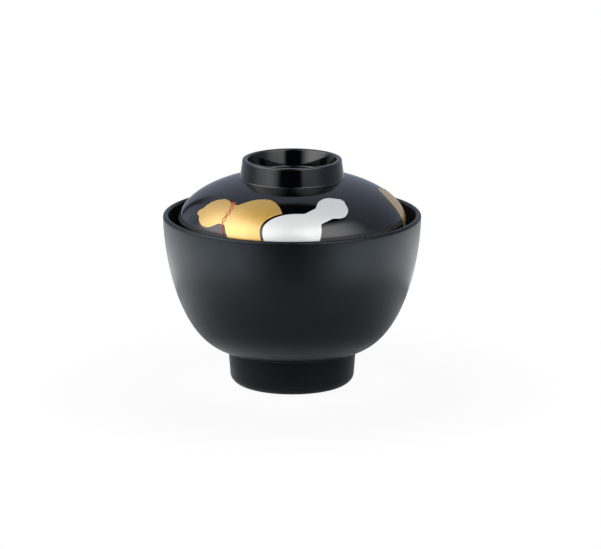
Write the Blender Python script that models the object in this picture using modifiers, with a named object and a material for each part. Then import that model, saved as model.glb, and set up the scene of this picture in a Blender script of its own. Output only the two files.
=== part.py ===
"""Lidded soup bowl: a bowl on a ring foot, and a domed lid that seats inside its rim.

Units are metres and +Z is up. The origin is on the turning axis, on the plane that the foot stands on.
The front of the bowl faces -Y. Bowl and lid are turned profiles, and the gourds on the lid are thin foils.
"""
import math
from collections import namedtuple

import bmesh
import bpy
import numpy as np

# Bowl
BOWL_RADIUS = 0.0550            # outer radius at the rim
RIM_HEIGHT = 0.0741             # top of the lip above the table
LIP_WALL = 0.0024               # thickness at the lip, which is rounded over
BODY_WALL = 0.0045              # thickness from the lid's seat down to the floor
RIM_LEAN = math.radians(1.1)    # how far the wall leans inwards just under the lip
SHOULDER_HANDLE = 0.0202        # how long the wall stays upright below the lip
BELLY_HANDLE = 0.0198           # how far the underside runs outwards from the foot
UNDERSIDE_SLOPE = math.radians(7.4)

# Ring foot
FOOT_HEIGHT = 0.0154            # where the foot meets the bowl
FOOT_TOP_RADIUS = 0.0273
FOOT_RADIUS = 0.0265            # above the rounded bottom edge
FOOT_EDGE_REACH = 0.0058        # rounded bottom edge, measured inwards
FOOT_EDGE_RISE = 0.0048         # rounded bottom edge, measured upwards
FOOT_LAND = 0.0020              # width of the flat ring that touches the table
FOOT_RECESS_DRAFT = 0.0006      # how much the recess narrows on its way up
FOOT_RECESS_FILLET = 0.0020
FOOT_INNER_EDGE = 0.0004
FOOT_JUNCTION_FILLET = 0.0005

# Lid
SEAT_DEPTH = 0.0185             # from the top of the lip down to the lid's edge
SEAT_CLEARANCE = 0.0003         # between the lid's edge and the bowl's wall
LID_EDGE_WALL = 0.0024          # thickness of the lid's rounded edge
LID_WALL = 0.0027               # thickness of dome and recess floor
SKIRT_LEAN = 0.0003             # how much the skirt narrows on its way up
DOME_BASE = 0.0149              # from the lid's edge to the middle of the dome's ellipse
DOME_OVERHANG = 0.0003          # how far that ellipse would reach beyond the skirt
DOME_EDGE_FILLET = 0.0008       # where dome and skirt meet
DOME_RISE = 0.0217              # from the ellipse's middle to where the dome would close

# Grip ring on the lid
GRIP_RISE = 0.0058              # top of the ring above the closed dome
GRIP_TOP_RADIUS = 0.0211
GRIP_BASE_RADIUS = 0.0222
GRIP_WALL = 0.0021
GRIP_EDGE = 0.0006
GRIP_FILLET = 0.0004
GRIP_RECESS_DEPTH = 0.0075
GRIP_RECESS_DRAFT = 0.0014
GRIP_RECESS_FILLET = 0.0020

# Gourd foils on the lid
FOIL_THICKNESS = 0.00015
FOIL_CLEARANCE = 0.0003         # between a foil and the lid
FOIL_LINE = 0.0013              # bare line between the two gourds at the front
FOIL_CUT_MARGIN = 0.0012        # how far the cutter for that line reaches past a foil
GOLD_LOWER_BULB = 0.0144        # half the width of the large bulb
GOLD_LOWER_END = 0.0156         # from the large bulb's widest place to the blossom end
GOLD_SHOULDER = 0.0125          # from there towards the waist, to where the large bulb would close
GOLD_UPPER_BULB = 0.0078        # radius of the small bulb
GOLD_WAIST = 0.0056             # half the width of the waist
GOLD_BULB_SPACING = 0.0221
GOLD_STEM = 0.0022              # stub of stem beyond the small bulb
GOLD_BEND = 0.0                 # this one is straight
GOLD_ABOVE_EDGE = 0.0245        # up the lid from its edge to the large bulb's widest place
GOLD_AZIMUTH = math.radians(-23.2)
GOLD_HEADING = math.radians(138.6)
SILVER_LOWER_BULB = 0.0135
SILVER_LOWER_END = 0.0115
SILVER_SHOULDER = 0.0147
SILVER_UPPER_BULB = 0.0066
SILVER_WAIST = 0.0044
SILVER_BULB_SPACING = 0.0261
SILVER_STEM = 0.0010
SILVER_BEND = -0.0072           # how far the small bulb lies to one side of the large one's axis
SILVER_ABOVE_EDGE = 0.0172
SILVER_AZIMUTH = math.radians(-1.2)
SILVER_HEADING = math.radians(60.7)
SIDE_GOLD_ABOVE_EDGE = 0.0190
SIDE_GOLD_AZIMUTH = math.radians(93.0)
SIDE_GOLD_HEADING = math.radians(105.0)
BACK_SILVER_TURN = math.radians(176.0)  # from the silver gourd at the front, round the lid
STEM_BASE = 0.0022              # half the width of a stem where it leaves its bulb
STEM_TIP = 0.0009               # half the width of a stem at its cut end

BULB_POWER = 1.7                # how round the large bulb is: 2 is an ellipse, less is leaner
OUTLINE_POWER = 5               # how tightly bulbs, waist and stem of a gourd blend

# Colour, roughness and metallic value of each finish
FINISHES = {
    "satin_black_lacquer": ((0.012, 0.012, 0.014), 0.32, 0.0),
    "gloss_black_lacquer": ((0.010, 0.010, 0.012), 0.08, 0.0),
    "gold_foil": ((0.68, 0.46, 0.14), 0.34, 1.0),
    "silver_foil": ((0.80, 0.81, 0.81), 0.30, 1.0),
}

# Fineness of the meshes
TURN_STEPS = 48
FLOOR_POINTS = 5
INNER_WALL_POINTS = 14
OUTER_WALL_POINTS = 16
LIP_POINTS = 7
FOOT_EDGE_POINTS = 7
DOME_POINTS = 14
UNDERSIDE_POINTS = 13
LID_EDGE_POINTS = 7
FINE_POINTS = 200               # on curves that are only measured
FOIL_COLUMNS = 30
FOIL_ROWS = 18
BULB_END_POINTS = 6
WAIST_POINTS = 12
MERGE_DISTANCE = 0.00001

Gourd = namedtuple("Gourd", "lower end shoulder upper waist spacing stem bend above_edge azimuth heading")
GOLD = Gourd(GOLD_LOWER_BULB, GOLD_LOWER_END, GOLD_SHOULDER, GOLD_UPPER_BULB, GOLD_WAIST,
             GOLD_BULB_SPACING, GOLD_STEM, GOLD_BEND, GOLD_ABOVE_EDGE, GOLD_AZIMUTH, GOLD_HEADING)
SILVER = Gourd(SILVER_LOWER_BULB, SILVER_LOWER_END, SILVER_SHOULDER, SILVER_UPPER_BULB, SILVER_WAIST,
               SILVER_BULB_SPACING, SILVER_STEM, SILVER_BEND, SILVER_ABOVE_EDGE, SILVER_AZIMUTH,
               SILVER_HEADING)
SIDE_GOLD = GOLD._replace(
    above_edge=SIDE_GOLD_ABOVE_EDGE, azimuth=SIDE_GOLD_AZIMUTH, heading=SIDE_GOLD_HEADING)
BACK_SILVER = SILVER._replace(azimuth=SILVER_AZIMUTH + BACK_SILVER_TURN,
                              heading=SILVER_HEADING + BACK_SILVER_TURN)


# Profiles: arrays of (radius, height) points
def bezier(start, start_handle, end_handle, end, count):
    """Points on a cubic Bezier curve."""
    t = np.linspace(0.0, 1.0, count)[:, None]
    s = 1.0 - t
    points = (start, start_handle, end_handle, end)
    weights = (s ** 3, 3 * s * s * t, 3 * s * t * t, t ** 3)
    return sum(weight * np.array(point) for weight, point in zip(weights, points))


def arc(centre, radii, start, end, count):
    """Points on an arc of an ellipse, from one angle in degrees to another."""
    angle = np.radians(np.linspace(start, end, count))
    return np.array(centre) + np.stack([radii[0] * np.cos(angle), radii[1] * np.sin(angle)], axis=1)


def fillet(before, corner, after, size, count=4):
    """Round a corner with a curve that leaves it by the given size on both sides."""
    before, corner, after = (np.array(point) for point in (before, corner, after))
    start = corner + size * (before - corner) / np.linalg.norm(before - corner)
    end = corner + size * (after - corner) / np.linalg.norm(after - corner)
    t = np.linspace(0.0, 1.0, count)[:, None]
    return (1 - t) ** 2 * start + 2 * t * (1 - t) * corner + t ** 2 * end


def offset_inwards(points, distance):
    """Move a curve that runs down the outside of a turned shape towards its inside."""
    tangent = np.gradient(points, axis=0)
    tangent /= np.linalg.norm(tangent, axis=1)[:, None]
    outward = np.stack([-tangent[:, 1], tangent[:, 0]], axis=1)
    return points - outward * np.reshape(distance, (-1, 1))


def bowl_outer_wall(count):
    """The bowl's outside, from under the lip to the foot."""
    lip = LIP_WALL / 2
    outward = np.array([math.cos(RIM_LEAN), -math.sin(RIM_LEAN)])
    downward = np.array([-math.sin(RIM_LEAN), -math.cos(RIM_LEAN)])
    top = np.array([BOWL_RADIUS - lip, RIM_HEIGHT - lip]) + lip * outward
    foot = np.array([FOOT_TOP_RADIUS, FOOT_HEIGHT])
    belly = np.array([math.cos(UNDERSIDE_SLOPE), math.sin(UNDERSIDE_SLOPE)])
    return bezier(top, top + SHOULDER_HANDLE * downward, foot + BELLY_HANDLE * belly, foot, count)


def bowl_inner_wall(count):
    """The bowl's inside: the outside moved in by a wall that thickens down to the lid's seat."""
    outer = bowl_outer_wall(count)
    depth = np.clip((outer[0, 1] - outer[:, 1]) / SEAT_DEPTH, 0.0, 1.0)
    ease = depth * depth * (3 - 2 * depth)
    return offset_inwards(outer, LIP_WALL + (BODY_WALL - LIP_WALL) * ease)


def bowl_profile():
    """From the middle of the inside floor over the lip and down to the middle of the underside."""
    inner = bowl_inner_wall(INNER_WALL_POINTS)[::-1]
    rise, run = (inner[1] - inner[0])[::-1]
    floor_radius = np.linspace(0.0, inner[0, 0], FLOOR_POINTS)[:-1]
    floor_drop = 0.5 * (rise / run) * inner[0, 0] * (1 - (floor_radius / inner[0, 0]) ** 2)
    floor = np.stack([floor_radius, inner[0, 1] - floor_drop], axis=1)

    lip = LIP_WALL / 2
    lip_arc = arc((BOWL_RADIUS - lip, RIM_HEIGHT - lip), (lip, lip), 180, 0, LIP_POINTS)
    outer = bowl_outer_wall(OUTER_WALL_POINTS)

    edge_top = (FOOT_RADIUS, FOOT_EDGE_RISE)
    junction = fillet(outer[-2], outer[-1], edge_top, FOOT_JUNCTION_FILLET, 3)
    edge_centre = (FOOT_RADIUS - FOOT_EDGE_REACH, FOOT_EDGE_RISE)
    edge = arc(edge_centre, (FOOT_EDGE_REACH, FOOT_EDGE_RISE), 0, -90, FOOT_EDGE_POINTS)
    land_end = (edge_centre[0] - FOOT_LAND, 0.0)
    ceiling = floor[0, 1] - BODY_WALL
    recess_corner = (land_end[0] - FOOT_RECESS_DRAFT, ceiling)
    inner_edge = fillet(edge[-1], land_end, recess_corner, FOOT_INNER_EDGE, 3)
    recess = fillet(land_end, recess_corner, (0.0, ceiling), FOOT_RECESS_FILLET)
    return np.concatenate([floor, inner[:-1], lip_arc, outer[1:-1], junction, edge, inner_edge, recess,
                           [(0.0, ceiling)]])


def lid_seat_radius():
    """Outer radius of the lid's edge: as wide as the bowl lets it be at the seat's height."""
    edge = LID_EDGE_WALL / 2
    reachable = offset_inwards(bowl_inner_wall(FINE_POINTS), edge + SEAT_CLEARANCE)
    height = RIM_HEIGHT - SEAT_DEPTH + edge
    return edge + np.interp(height, reachable[::-1, 1], reachable[::-1, 0])


def skirt_radius():
    """Outer radius where the skirt ends and the dome starts."""
    return lid_seat_radius() - SKIRT_LEAN


def dome_radius():
    """Level radius of the dome's ellipse, which the skirt cuts off."""
    return skirt_radius() + DOME_OVERHANG


def dome_height(radius):
    """Height of the dome over the lid's edge, on an ellipse that closes above the axis."""
    return DOME_BASE + DOME_RISE * np.sqrt(1 - (radius / dome_radius()) ** 2)


def dome_arc(start, count):
    """The dome from an angle on its ellipse down to the skirt."""
    end = math.degrees(math.acos(skirt_radius() / dome_radius()))
    return arc((0.0, DOME_BASE), (dome_radius(), DOME_RISE), start, end, count)


def lid_profile():
    """From the middle of the grip ring's recess over ring, dome and edge to the middle of the underside."""
    top = DOME_BASE + DOME_RISE + GRIP_RISE
    recess_floor = top - GRIP_RECESS_DEPTH
    inner_top = (GRIP_TOP_RADIUS - GRIP_WALL, top)
    inner_floor = (inner_top[0] - GRIP_RECESS_DRAFT, recess_floor)
    outer_top = (GRIP_TOP_RADIUS, top)
    base = (GRIP_BASE_RADIUS, dome_height(GRIP_BASE_RADIUS))

    dome_start = math.degrees(math.acos((GRIP_BASE_RADIUS + 2 * GRIP_FILLET) / dome_radius()))
    dome = dome_arc(dome_start, DOME_POINTS)
    edge = LID_EDGE_WALL / 2
    edge_arc = arc((lid_seat_radius() - edge, edge), (edge, edge), 0, -180, LID_EDGE_POINTS)
    under_rise = recess_floor - LID_WALL - DOME_BASE
    under_radius = skirt_radius() - LID_WALL
    underside = arc((0.0, DOME_BASE), (under_radius, under_rise), 0, 90, UNDERSIDE_POINTS)
    underside[-1, 0] = 0.0
    return np.concatenate([
        [(0.0, recess_floor)],
        fillet((0.0, recess_floor), inner_floor, inner_top, GRIP_RECESS_FILLET, 7),
        fillet(inner_floor, inner_top, outer_top, GRIP_EDGE),
        fillet(inner_top, outer_top, base, GRIP_EDGE),
        fillet(outer_top, base, dome[0], GRIP_FILLET),
        dome[:-1],
        fillet(dome[-2], dome[-1], edge_arc[0], DOME_EDGE_FILLET),
        edge_arc, underside])


# Gourd foils: drawn flat, then laid on the lid
def lid_meridian():
    """Arc length from the apex, radius and height along the closed dome and the skirt."""
    dome = dome_arc(90, FINE_POINTS)
    skirt_end = (lid_seat_radius(), LID_EDGE_WALL / 2)
    skirt = np.linspace(dome[-1], skirt_end, FINE_POINTS)[1:]
    line = np.concatenate([dome, skirt])
    length = np.concatenate([[0.0], np.cumsum(np.linalg.norm(np.diff(line, axis=0), axis=1))])
    return length, line


def lay_on_lid(flat, lift):
    """Wrap flat points on the lid: distance from the centre becomes arc length from the apex."""
    length, line = lid_meridian()
    lifted = offset_inwards(line, -lift)
    distance = np.linalg.norm(flat, axis=1)
    radius = np.interp(distance, length, lifted[:, 0])
    height = np.interp(distance, length, lifted[:, 1])
    return np.column_stack([flat * (radius / distance)[:, None], height])


def gourd_half_width(along, gourd):
    """Half the width of a gourd's outline, at a distance along its axis from the large bulb's widest place."""
    lower_length = np.where(along < 0, gourd.end, gourd.shoulder)
    fullness = np.clip(1 - np.abs(along / lower_length) ** BULB_POWER, 0, 1) ** (1 / BULB_POWER)
    lower = gourd.lower * fullness
    upper = np.sqrt(np.clip(gourd.upper ** 2 - (along - gourd.spacing) ** 2, 0, None))
    waist = np.where((along > 0) & (along < gourd.spacing), gourd.waist, 0)
    beyond = along - gourd.spacing - gourd.upper
    stem = np.interp(beyond, (-gourd.upper, 0, gourd.stem), (0, STEM_BASE, STEM_TIP))
    parts = np.stack([lower, upper, waist, stem])
    return np.sum(parts ** OUTLINE_POWER, axis=0) ** (1 / OUTLINE_POWER)


def gourd_lean(along, gourd):
    """How far a bent gourd has leaned to one side, easing in from the large bulb to the small one."""
    share = np.clip(along / gourd.spacing, 0, 1)
    return gourd.bend * share ** 2 * (3 - 2 * share)


def gourd_stations(gourd):
    """Places along a gourd's axis, closer together where its ends turn round."""
    quarter_turn = np.radians(np.linspace(0, 90, BULB_END_POINTS))
    lower = -gourd.end * np.cos(quarter_turn)
    middle = np.linspace(0, gourd.spacing, WAIST_POINTS)[1:]
    upper = gourd.spacing + gourd.upper * np.sin(quarter_turn)[1:]
    tip = gourd.spacing + gourd.upper + gourd.stem
    return np.concatenate([lower, middle, upper, [tip]])


def gourd_surface(name, gourd, lift):
    """A grid with a gourd's outline, lying on the lid at the given lift."""
    bpy.ops.mesh.primitive_grid_add(x_subdivisions=FOIL_COLUMNS, y_subdivisions=FOIL_ROWS, size=2)
    surface = bpy.context.object
    surface.name = name
    points = np.empty(len(surface.data.vertices) * 3)
    surface.data.vertices.foreach_get("co", points)
    column, row = points.reshape(-1, 3).T[:2]

    stations = gourd_stations(gourd)
    along = np.interp(column, np.linspace(-1, 1, len(stations)), stations)
    across = row * gourd_half_width(along, gourd) + gourd_lean(along, gourd)
    length, _ = lid_meridian()
    centre = length[-1] - gourd.above_edge
    cosine, sine = math.cos(gourd.heading), math.sin(gourd.heading)
    flat = np.column_stack([centre * math.sin(gourd.azimuth) + along * cosine - across * sine,
                            -centre * math.cos(gourd.azimuth) + along * sine + across * cosine])
    surface.data.vertices.foreach_set("co", lay_on_lid(flat, lift).ravel())

    mesh = bmesh.new()
    mesh.from_mesh(surface.data)
    bmesh.ops.remove_doubles(mesh, verts=mesh.verts, dist=MERGE_DISTANCE)
    mesh.to_mesh(surface.data)
    mesh.free()
    return surface


def thicken(surface, thickness):
    """Give a surface a thickness on its outer side."""
    solidify = surface.modifiers.new("thickness", "SOLIDIFY")
    solidify.thickness = thickness
    solidify.offset = 1.0


# Objects
def finish(name):
    """A Principled material with the values of a finish."""
    colour, roughness, metallic = FINISHES[name]
    material = bpy.data.materials.new(name)
    material.use_nodes = True
    shader = material.node_tree.nodes["Principled BSDF"]
    shader.inputs["Base Color"].default_value = (*colour, 1.0)
    shader.inputs["Roughness"].default_value = roughness
    shader.inputs["Metallic"].default_value = metallic
    return material


def turned(name, profile, material):
    """A profile turned round the Z axis."""
    mesh = bpy.data.meshes.new(name)
    points = [(radius, 0.0, height) for radius, height in profile]
    mesh.from_pydata(points, [(i, i + 1) for i in range(len(points) - 1)], [])
    piece = bpy.data.objects.new(name, mesh)
    screw = piece.modifiers.new("turn", "SCREW")
    screw.axis = "Z"
    screw.angle = 2 * math.pi
    screw.steps = TURN_STEPS
    screw.render_steps = TURN_STEPS
    screw.use_merge_vertices = True
    screw.merge_threshold = MERGE_DISTANCE
    screw.use_smooth_shade = True
    piece.data.materials.append(material)
    return piece


def foil(name, gourd, material):
    """A gourd of thin foil, just clear of the lid."""
    piece = gourd_surface(name, gourd, FOIL_CLEARANCE)
    piece.data.shade_smooth()
    piece.data.materials.append(material)
    thicken(piece, FOIL_THICKNESS)
    return piece


def cut_away(piece, gourd):
    """Cut the gourd that lies in front, and the bare line round it, out of a foil."""
    grown = gourd._replace(lower=gourd.lower + FOIL_LINE, end=gourd.end + FOIL_LINE,
                           shoulder=gourd.shoulder + FOIL_LINE, upper=gourd.upper + FOIL_LINE,
                           waist=gourd.waist + FOIL_LINE)
    cutter = gourd_surface(f"{piece.name}_cutter", grown, FOIL_CLEARANCE - FOIL_CUT_MARGIN)
    thicken(cutter, FOIL_THICKNESS + 2 * FOIL_CUT_MARGIN)
    cutter.hide_render = True
    cutter.display_type = "WIRE"
    cut = piece.modifiers.new("gourd_in_front", "BOOLEAN")
    cut.operation = "DIFFERENCE"
    cut.object = cutter
    return cutter


def collect(name, pieces):
    """Put pieces in a collection of their own, and in no other one."""
    collection = bpy.data.collections.new(name)
    bpy.context.scene.collection.children.link(collection)
    for piece in pieces:
        for other in list(piece.users_collection):
            other.objects.unlink(piece)
        collection.objects.link(piece)


def build():
    """Make every piece, put the lid and its foils on the lid's axis, and sort the collections."""
    for existing in list(bpy.data.objects):
        bpy.data.objects.remove(existing)

    bowl = turned("bowl", bowl_profile(), finish("satin_black_lacquer"))
    lid = turned("lid", lid_profile(), finish("gloss_black_lacquer"))
    gold = finish("gold_foil")
    silver = finish("silver_foil")
    foils = [foil("gold_gourd_1", GOLD, gold), foil("gold_gourd_2", SIDE_GOLD, gold),
             foil("silver_gourd_1", SILVER, silver), foil("silver_gourd_2", BACK_SILVER, silver)]
    cutter = cut_away(foils[0], SILVER)

    lift_axis = bpy.data.objects.new("lid_lift_axis", None)
    lift_axis.location.z = RIM_HEIGHT - SEAT_DEPTH
    for piece in (lid, *foils, cutter):
        piece.parent = lift_axis
    collect("lidded_soup_bowl", (bowl, lift_axis, lid, *foils))
    collect("cutters", (cutter,))


build()
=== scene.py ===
# %% [markdown]
# # A lidded soup bowl in black lacquer
# The real thing is two turned or moulded pieces under sprayed lacquer: a satin black bowl on a ring foot,
# and a polished black lid with gold and silver gourds laid on it. The measured frame gives the outer sizes
# of both. This lesson puts smooth numpy surfaces over that frame, then finishes, then a small photo studio.

# %% Load the frame
import math
from collections import namedtuple

import bmesh
import bpy
import numpy as np
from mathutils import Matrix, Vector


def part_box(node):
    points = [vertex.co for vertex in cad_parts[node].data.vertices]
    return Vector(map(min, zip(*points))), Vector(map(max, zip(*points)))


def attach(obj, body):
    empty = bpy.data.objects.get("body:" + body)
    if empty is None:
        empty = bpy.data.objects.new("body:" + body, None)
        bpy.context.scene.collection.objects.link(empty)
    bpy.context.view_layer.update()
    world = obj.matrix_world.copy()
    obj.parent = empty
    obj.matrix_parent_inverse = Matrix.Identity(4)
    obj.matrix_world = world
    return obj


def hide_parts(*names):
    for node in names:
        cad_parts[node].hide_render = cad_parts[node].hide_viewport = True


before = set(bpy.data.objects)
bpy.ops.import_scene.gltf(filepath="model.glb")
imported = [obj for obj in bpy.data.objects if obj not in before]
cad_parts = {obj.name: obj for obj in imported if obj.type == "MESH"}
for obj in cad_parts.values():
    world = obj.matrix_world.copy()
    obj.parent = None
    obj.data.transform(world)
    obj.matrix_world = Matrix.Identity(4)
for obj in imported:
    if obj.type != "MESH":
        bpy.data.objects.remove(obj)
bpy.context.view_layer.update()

MM = 1000                            # millimetres in a metre, for what is printed

# %% [markdown]
# ## The camera
# A long lens far away flattens the ellipses of rim and foot, as in a catalogue picture. Camera height and
# distance could be guessed by eye, but rim, foot and grip ring are circles of known size, so their ellipses
# fix both. The bowl stands a little left of the middle, and a small lens shift takes care of that.

# %% Camera
IMAGE_SIZE = (601, 549)              # pixels
AIM_PIXEL = (291.6, 279.3)           # where the aim point lies in the picture
AIM = np.array([0.0, 0.0, 0.045])    # on the bowl's axis
CAMERA_RISE = math.radians(13.42)
CAMERA_DISTANCE = 2.567
LENS = 360.1                         # millimetres, on Blender's 36 mm sensor


def direction(azimuth, elevation):
    """Unit vector: azimuth turns from the front (-Y) towards +X, elevation rises from the table."""
    level = math.cos(elevation)
    return np.array([math.sin(azimuth) * level, -math.cos(azimuth) * level, math.sin(elevation)])


camera = bpy.data.objects.new("camera", bpy.data.cameras.new("camera"))
bpy.context.scene.collection.objects.link(camera)
camera.location = AIM + CAMERA_DISTANCE * direction(0.0, CAMERA_RISE)
camera.rotation_euler.x = math.pi / 2 - CAMERA_RISE
camera.data.lens = LENS
camera.data.shift_x = ((IMAGE_SIZE[0] - 1) / 2 - AIM_PIXEL[0]) / IMAGE_SIZE[0]
camera.data.shift_y = (AIM_PIXEL[1] - (IMAGE_SIZE[1] - 1) / 2) / IMAGE_SIZE[0]
bpy.context.scene.camera = camera
print("camera at", [round(value, 3) for value in camera.location], "shift", round(camera.data.shift_x, 4))

# %% [markdown]
# ## Grids of points
# Every piece here is a grid: rows and columns of points that a formula gives at once. One helper numbers the
# corners of the grid's quads, one makes the object, and one closes seams by merging points that coincide.


# %% Mesh helpers
def grid_quads(rows, columns, wrap=False):
    """Corner numbers of a grid's quads; with wrap, the last column meets the first one."""
    row = np.arange(rows - 1)[:, None] * columns
    column = np.arange(columns if wrap else columns - 1)[None, :]
    beside = (column + 1) % columns
    corners = (row + column, row + columns + column, row + columns + beside, row + beside)
    return np.stack(corners, axis=-1).reshape(-1, 4)


def make_object(name, points, faces):
    """A smooth-shaded mesh object at the origin."""
    mesh = bpy.data.meshes.new(name)
    mesh.from_pydata(np.asarray(points).tolist(), [], faces)
    mesh.shade_smooth()
    made = bpy.data.objects.new(name, mesh)
    bpy.context.scene.collection.objects.link(made)
    return made


MERGE_DISTANCE = 2e-6


def close_seams(piece):
    """Merge points that coincide, turn the faces outwards and say what the closed mesh holds."""
    mesh = bmesh.new()
    mesh.from_mesh(piece.data)
    bmesh.ops.remove_doubles(mesh, verts=mesh.verts, dist=MERGE_DISTANCE)
    bmesh.ops.recalc_face_normals(mesh, faces=mesh.faces)
    open_edges = sum(not edge.is_manifold for edge in mesh.edges)
    volume = mesh.calc_volume(signed=True) * MM ** 3
    print(f"{piece.name}: {len(mesh.faces)} faces, {volume:.1f} cubic mm, {open_edges} open edges")
    mesh.to_mesh(piece.data)
    mesh.free()


# %% [markdown]
# ## Profiles
# A bowl comes off a lathe, so it is one line turned round an axis. The line is drawn with a few curves: a
# Bezier curve for the wall, arcs for lip and edges, and fillets where two surfaces meet. A Screw modifier
# could turn it too. Here cosine and sine do it in one step, and each end of the line closes in a pole.


# %% Profile helpers
def bezier(start, start_handle, end_handle, end, count):
    """Points on a cubic Bezier curve: the four points weighted by s3, 3s2t, 3st2 and t3, with s = 1 - t."""
    t = np.linspace(0.0, 1.0, count)[:, None]
    s = 1.0 - t
    points = (start, start_handle, end_handle, end)
    weights = (s ** 3, 3 * s * s * t, 3 * s * t * t, t ** 3)
    return sum(weight * np.array(point) for weight, point in zip(weights, points))


def arc(centre, radii, start, end, count):
    """Points on an arc of an ellipse: the centre plus the two radii times cosine and sine of an angle."""
    angle = np.radians(np.linspace(start, end, count))
    return np.array(centre) + np.stack([radii[0] * np.cos(angle), radii[1] * np.sin(angle)], axis=1)


def fillet(before, corner, after, size, count=10):
    """Round a corner: a quadratic Bezier curve that leaves the corner by the size on both sides."""
    before, corner, after = (np.array(point) for point in (before, corner, after))
    start = corner + size * (before - corner) / np.linalg.norm(before - corner)
    end = corner + size * (after - corner) / np.linalg.norm(after - corner)
    t = np.linspace(0.0, 1.0, count)[:, None]
    return (1 - t) ** 2 * start + 2 * t * (1 - t) * corner + t ** 2 * end


def outward_of(line):
    """Unit vectors at right angles to a line that runs down the outside of a turned shape."""
    tangent = np.gradient(line, axis=0)
    tangent /= np.linalg.norm(tangent, axis=1)[:, None]
    return np.stack([-tangent[:, 1], tangent[:, 0]], axis=1)


def turned(name, profile, columns):
    """Turn a profile: x = r cos t, y = r sin t, z = h for each profile point (r, h) and each turn t.

    The first and the last profile point lie on the axis, and each becomes a pole with a fan of triangles.
    """
    turn = np.linspace(0.0, 2 * np.pi, columns, endpoint=False)
    radius, height = profile[1:-1].T
    rings = np.stack([np.outer(radius, np.cos(turn)), np.outer(radius, np.sin(turn)),
                      np.outer(height, np.ones(columns))], axis=-1)
    poles = [(0.0, 0.0, profile[0, 1]), (0.0, 0.0, profile[-1, 1])]
    points = np.concatenate([rings.reshape(-1, 3), poles])
    first = np.arange(columns)
    beside = (first + 1) % columns
    last_ring = (len(radius) - 1) * columns
    top = np.full(columns, len(points) - 2)
    bottom = np.full(columns, len(points) - 1)
    fans = np.concatenate([np.stack([top, first, beside], axis=1),
                           np.stack([bottom, beside + last_ring, first + last_ring], axis=1)])
    faces = grid_quads(len(radius), columns, wrap=True).tolist() + fans.tolist()
    return make_object(name, points, faces)


# %% [markdown]
# ## The bowl
# The wall stands almost upright under the lip and then swings under towards the foot. Two handles of a
# Bezier curve say just that. The inside is the outside moved in by the wall, which thickens down to where
# the lid's edge rests. The foot is a short ring with a rounded lower edge.

# %% Bowl sizes
BOWL_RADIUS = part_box("bowl")[1].x
RIM_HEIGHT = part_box("bowl")[1].z
LID_EDGE_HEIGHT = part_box("lid")[0].z
SEAT_DEPTH = RIM_HEIGHT - LID_EDGE_HEIGHT
LIP_WALL = 0.0024
BODY_WALL = 0.0045
RIM_LEAN = math.radians(1.1)
SHOULDER_HANDLE = 0.0202
BELLY_HANDLE = 0.0198
UNDERSIDE_SLOPE = math.radians(7.4)
FOOT_HEIGHT = 0.0154
FOOT_TOP_RADIUS = 0.0273
FOOT_RADIUS = 0.0265
FOOT_EDGE = (0.0058, 0.0048)         # rounded lower edge: inwards and upwards
FOOT_LAND = 0.0020
FOOT_RECESS_DRAFT = 0.0006
FOOT_RECESS_FILLET = 0.0020
FOOT_INNER_EDGE = 0.0004
FOOT_JUNCTION_FILLET = 0.0005
print(f"bowl {MM * 2 * BOWL_RADIUS:.1f} mm wide, rim {MM * RIM_HEIGHT:.1f} mm high")

# %% Bowl
WALL_POINTS = 90
LIP_POINTS = 25
FLOOR_POINTS = 20
TURN_COLUMNS = 240


def bowl_outside(count):
    """The outer wall, from under the lip to the foot, as one Bezier curve."""
    lip = LIP_WALL / 2
    top = np.array([BOWL_RADIUS - lip, RIM_HEIGHT - lip])
    top += lip * np.array([math.cos(RIM_LEAN), -math.sin(RIM_LEAN)])
    downward = np.array([-math.sin(RIM_LEAN), -math.cos(RIM_LEAN)])
    foot = np.array([FOOT_TOP_RADIUS, FOOT_HEIGHT])
    belly = np.array([math.cos(UNDERSIDE_SLOPE), math.sin(UNDERSIDE_SLOPE)])
    return bezier(top, top + SHOULDER_HANDLE * downward, foot + BELLY_HANDLE * belly, foot, count)


def bowl_inside(outside):
    """The outer wall moved in by a wall that eases from the lip's thickness to the body's."""
    depth = np.clip((outside[0, 1] - outside[:, 1]) / SEAT_DEPTH, 0.0, 1.0)
    ease = depth * depth * (3 - 2 * depth)
    wall = LIP_WALL + (BODY_WALL - LIP_WALL) * ease
    return outside - outward_of(outside) * wall[:, None]


def bowl_profile():
    """Floor, inner wall, lip, outer wall, foot and the recess under it, from axis to axis.

    The floor is a parabola that meets the inner wall at the wall's own slope.
    """
    outside = bowl_outside(WALL_POINTS)
    inside = bowl_inside(outside)[::-1]
    run, rise = inside[1] - inside[0]
    floor_radius = np.linspace(0.0, inside[0, 0], FLOOR_POINTS)[:-1]
    floor_drop = 0.5 * (rise / run) * inside[0, 0] * (1 - (floor_radius / inside[0, 0]) ** 2)
    floor = np.stack([floor_radius, inside[0, 1] - floor_drop], axis=1)
    lip = LIP_WALL / 2
    lip_arc = arc((BOWL_RADIUS - lip, RIM_HEIGHT - lip), (lip, lip), 180, 0, LIP_POINTS)
    edge_centre = (FOOT_RADIUS - FOOT_EDGE[0], FOOT_EDGE[1])
    edge = arc(edge_centre, FOOT_EDGE, 0, -90, LIP_POINTS)
    land_end = (edge_centre[0] - FOOT_LAND, 0.0)
    ceiling = floor[0, 1] - BODY_WALL
    recess_corner = (land_end[0] - FOOT_RECESS_DRAFT, ceiling)
    return np.concatenate([
        floor, inside[:-1], lip_arc, outside[1:-2],
        fillet(outside[-2], outside[-1], edge[0], FOOT_JUNCTION_FILLET), edge,
        fillet(edge[-1], land_end, recess_corner, FOOT_INNER_EDGE),
        fillet(land_end, recess_corner, (0.0, ceiling), FOOT_RECESS_FILLET), [(0.0, ceiling)]])


bowl = turned("lacquered_bowl", bowl_profile(), TURN_COLUMNS)
close_seams(bowl)
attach(bowl, "bowl")
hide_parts("bowl")

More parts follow.
